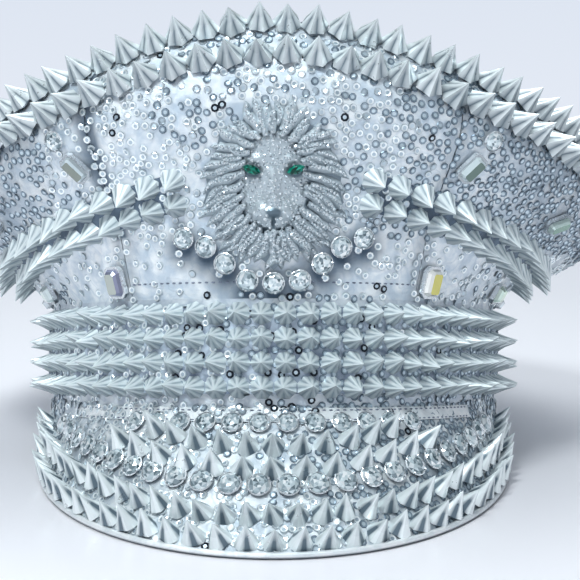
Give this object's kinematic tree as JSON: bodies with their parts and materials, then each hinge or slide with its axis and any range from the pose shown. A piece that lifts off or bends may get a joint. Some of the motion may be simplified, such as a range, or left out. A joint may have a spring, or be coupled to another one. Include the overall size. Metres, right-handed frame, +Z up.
{
  "type": "captain hat",
  "caption": "Peaked captain hat with a puffed crown, steep visor and head band, trimmed with rows of spike studs, crystals and a lion-head brooch on the front.",
  "frame": {"origin": "on the table, under the middle of the hat's box, as it rests tipped back on its visor and the back of its band", "axes": "+Z up, front of the hat towards -Y, +X to the wearer's left"},
  "size_m": [0.286, 0.3044, 0.161],
  "materials": {
    "cloth": "silver-white cloth sewn with ring sequins",
    "spike": "polished silver",
    "brooch": "silver set all over with small stones",
    "crystal": "clear cut glass, foil backed",
    "emerald": "dark green cut glass"
  },
  "bodies": {
    "root": {"head_band": "cloth", "crown_front": "cloth", "crown_left": "cloth", "crown_back": "cloth", "crown_right": "cloth", "crown_top": "cloth", "visor": "cloth", "rim_spikes": "spike", "band_spikes": "spike", "swag_spikes_left": "spike", "swag_spikes_right": "spike", "visor_spikes_edge": "spike", "visor_spikes_middle": "spike", "visor_spikes_upper": "spike", "brooch": "brooch", "brooch_eye_left": "emerald", "brooch_eye_right": "emerald", "drop_stone_middle": "crystal", "drop_stone_left_1": "crystal", "drop_stone_right_1": "crystal", "drop_stone_left_2": "crystal", "drop_stone_right_2": "crystal", "drop_stone_left_3": "crystal", "drop_stone_right_3": "crystal", "drop_stone_left_4": "crystal", "drop_stone_right_4": "crystal", "crystal_round_left": "crystal", "crystal_round_right": "crystal", "crystal_upper_left": "crystal", "crystal_upper_right": "crystal", "crystal_side_left": "crystal", "crystal_side_right": "crystal", "crystal_stand_front_left": "crystal", "crystal_stand_front_right": "crystal", "crystal_stand_side_left": "crystal", "crystal_stand_side_right": "crystal", "crystal_stand_back_left": "crystal", "crystal_stand_back_right": "crystal"}
  },
  "joints": []
}
